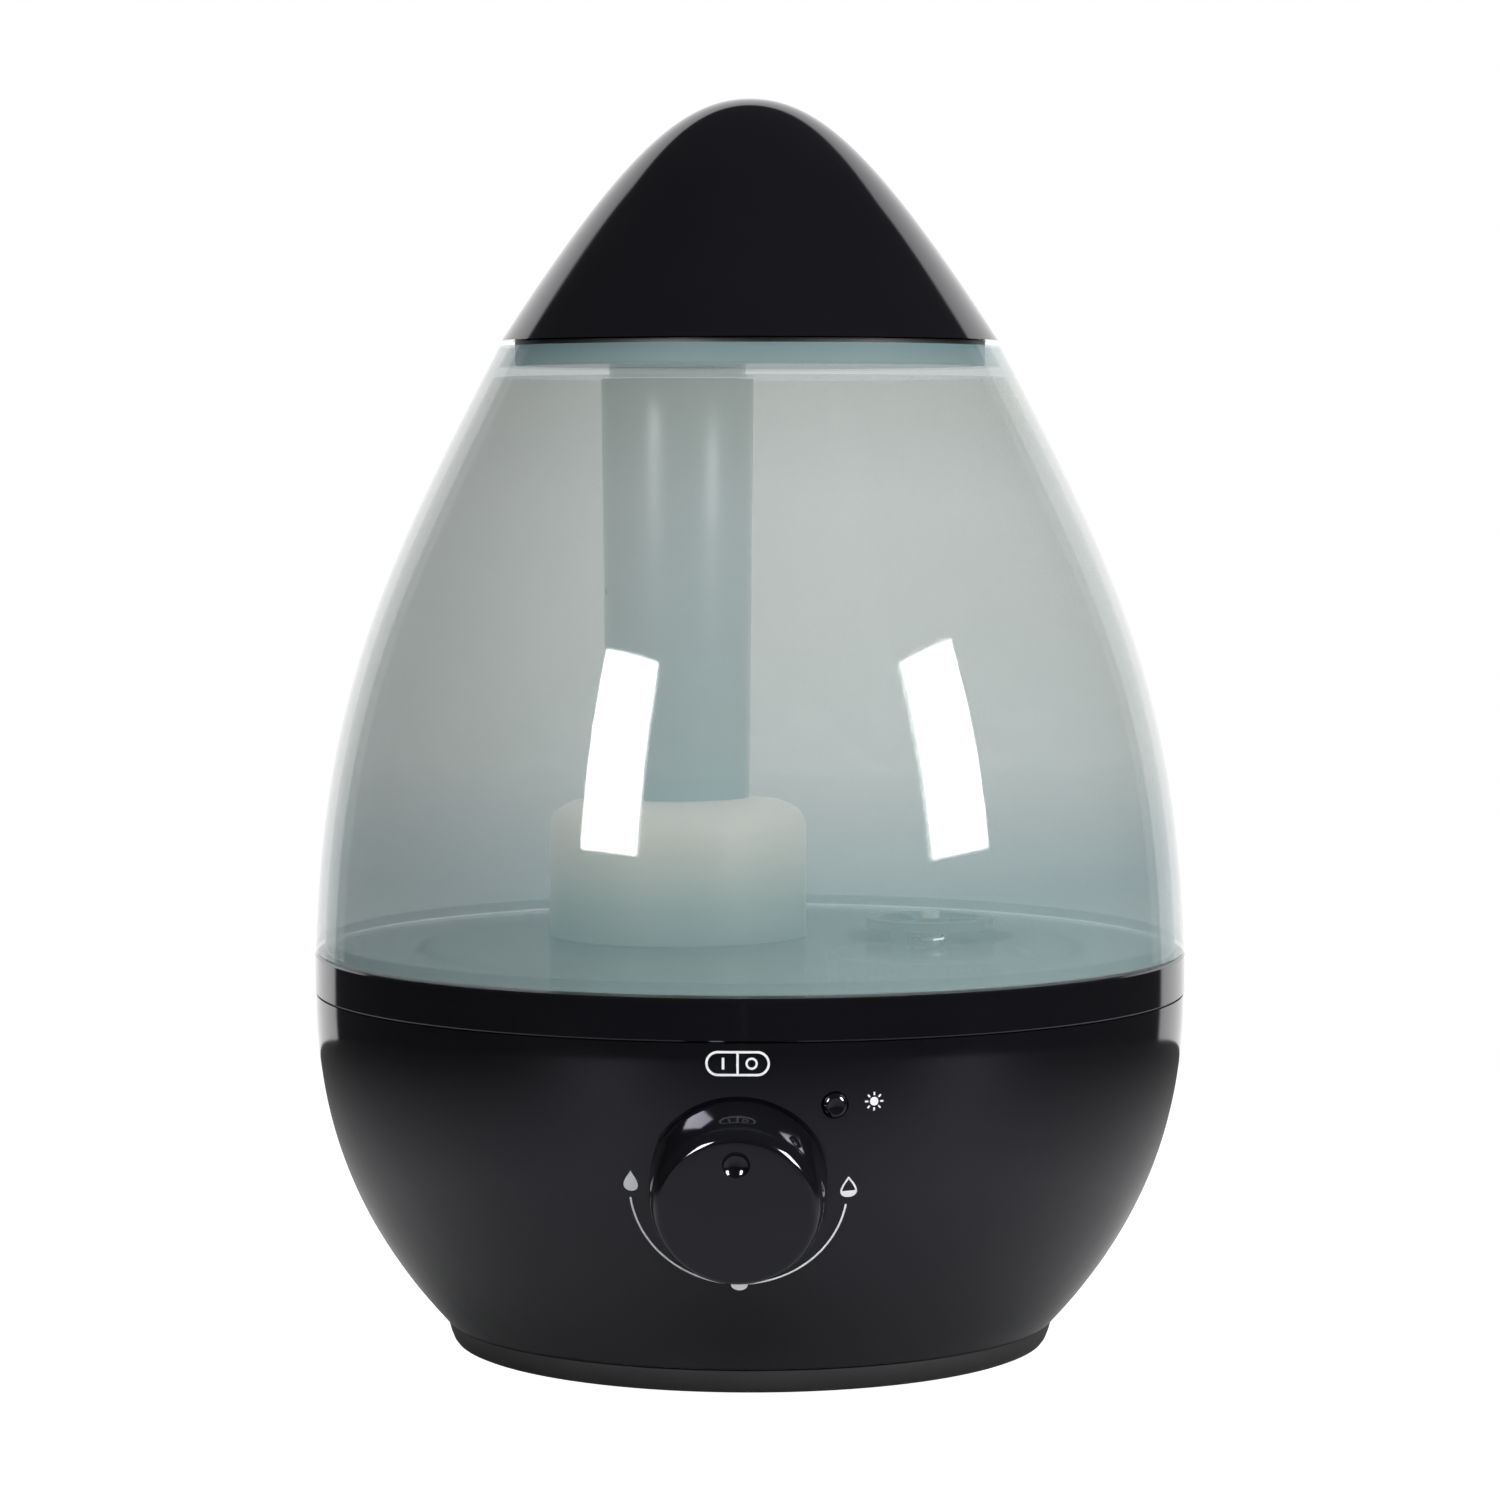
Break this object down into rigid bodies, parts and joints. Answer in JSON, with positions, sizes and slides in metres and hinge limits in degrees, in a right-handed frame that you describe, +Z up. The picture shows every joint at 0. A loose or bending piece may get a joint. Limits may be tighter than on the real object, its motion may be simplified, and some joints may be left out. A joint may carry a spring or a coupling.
{
  "type": "cool mist humidifier",
  "caption": "Drop-shaped tabletop humidifier: black base with a control knob, translucent lift-off water tank and a turning black mist cap.",
  "frame": {"origin": "on the surface the humidifier stands on, under the middle of its whole box", "axes": "+Z up through the drop, -Y towards the control knob at the front, +X to the right as the front is seen"},
  "size_m": [0.2164, 0.2301, 0.3093],
  "materials": {
    "black_gloss": "high gloss",
    "black_matt": "fine satin",
    "tank_tint": "translucent grey-teal gloss",
    "duct_tint": "translucent teal satin",
    "milky": "milky translucent",
    "rubber": "matt",
    "seal": "soft silicone",
    "steel": "plated",
    "aluminium": "brushed",
    "board_green": "solder mask",
    "copper": "enamelled winding",
    "clear": "clear lamp body",
    "capacitor_sleeve": "shrink sleeve"
  },
  "bodies": {
    "root": {"bowl_shell": "black_gloss", "basin_tray": "black_gloss", "bottom_cover": "black_matt", "rubber_foot_1": "rubber", "rubber_foot_2": "rubber", "rubber_foot_3": "rubber", "rubber_foot_4": "rubber", "cover_screw_1": "steel", "cover_screw_2": "steel", "cover_screw_3": "steel", "cover_screw_4": "steel", "transducer_seal": "rubber", "transducer_disc": "steel", "transducer_clamp": "aluminium", "clamp_screw_1": "steel", "clamp_screw_2": "steel", "float_clip": "black_matt", "reed_switch": "board_green", "night_light_lens": "milky", "night_light_led": "clear", "fan_housing": "black_matt", "fan_stator": "steel", "air_duct": "milky", "driver_board": "board_green", "heat_sink": "aluminium", "power_transistor": "black_matt", "filter_capacitor": "capacitor_sleeve", "drive_coil": "copper", "transformer": "steel", "control_pot": "steel", "pot_nut": "steel", "light_switch": "black_matt", "cord_gland": "rubber"},
    "knob": {"knob": "black_gloss", "knob_shaft": "aluminium"},
    "light_button": {"light_button": "black_gloss"},
    "fan_rotor": {"fan_impeller": "black_matt", "fan_shaft": "steel"},
    "float": {"float_ring": "seal", "float_magnet": "steel"},
    "tank": {"tank_shell": "tank_tint", "tank_floor": "tank_tint", "mist_chamber": "milky", "mist_duct": "duct_tint"},
    "fill_cap": {"fill_cap": "milky", "fill_gasket": "seal", "valve_spring": "steel"},
    "valve": {"valve_plunger": "milky", "valve_seal": "seal"},
    "lid_collar": {"lid_collar": "black_matt", "splash_baffle": "black_matt"},
    "mist_cap": {"mist_cap": "black_gloss"}
  },
  "joints": [
    {"name": "knob_turn", "type": "hinge", "parent": "root", "child": "knob", "pos_m": [0, -0.09635, 0.055], "axis": [0, 0.9627, 0.2706], "range_deg": [0, 300]},
    {"name": "light_press", "type": "slide", "parent": "root", "child": "light_button", "axis": [-0.2052, 0.9738, 0.0976], "range_m": [0, 0.0012], "stiffness_N_per_m": 300, "springref_m": -0.002},
    {"name": "fan_spin", "type": "hinge", "parent": "root", "child": "fan_rotor", "pos_m": [0.012, 0.0454, 0.02], "axis": [0, 0, 1], "continuous": true},
    {"name": "float_rise", "type": "slide", "parent": "root", "child": "float", "axis": [0, 0, 1], "range_m": [0, 0.005]},
    {"name": "tank_lift", "type": "slide", "parent": "root", "child": "tank", "axis": [0, 0, 1], "range_m": [0, 0.08]},
    {"name": "fill_cap_turn", "type": "hinge", "parent": "tank", "child": "fill_cap", "pos_m": [0.045, 0.0074, 0.09], "axis": [0, 0, 1], "range_deg": [-360, 0]},
    {"name": "valve_slide", "type": "slide", "parent": "fill_cap", "child": "valve", "axis": [0, 0, 1], "range_m": [-0.003, 0], "deforming": ["valve_spring"]},
    {"name": "lid_lift", "type": "slide", "parent": "tank", "child": "lid_collar", "axis": [0, 0, 1], "range_m": [0, 0.05]},
    {"name": "mist_cap_turn", "type": "hinge", "parent": "lid_collar", "child": "mist_cap", "pos_m": [0, 0.0074, 0.25], "axis": [0, 0, 1], "continuous": true}
  ],
  "couplings": [
    {"joint": "valve_slide", "follows": "tank_lift", "ratio": -0.0375}
  ]
}
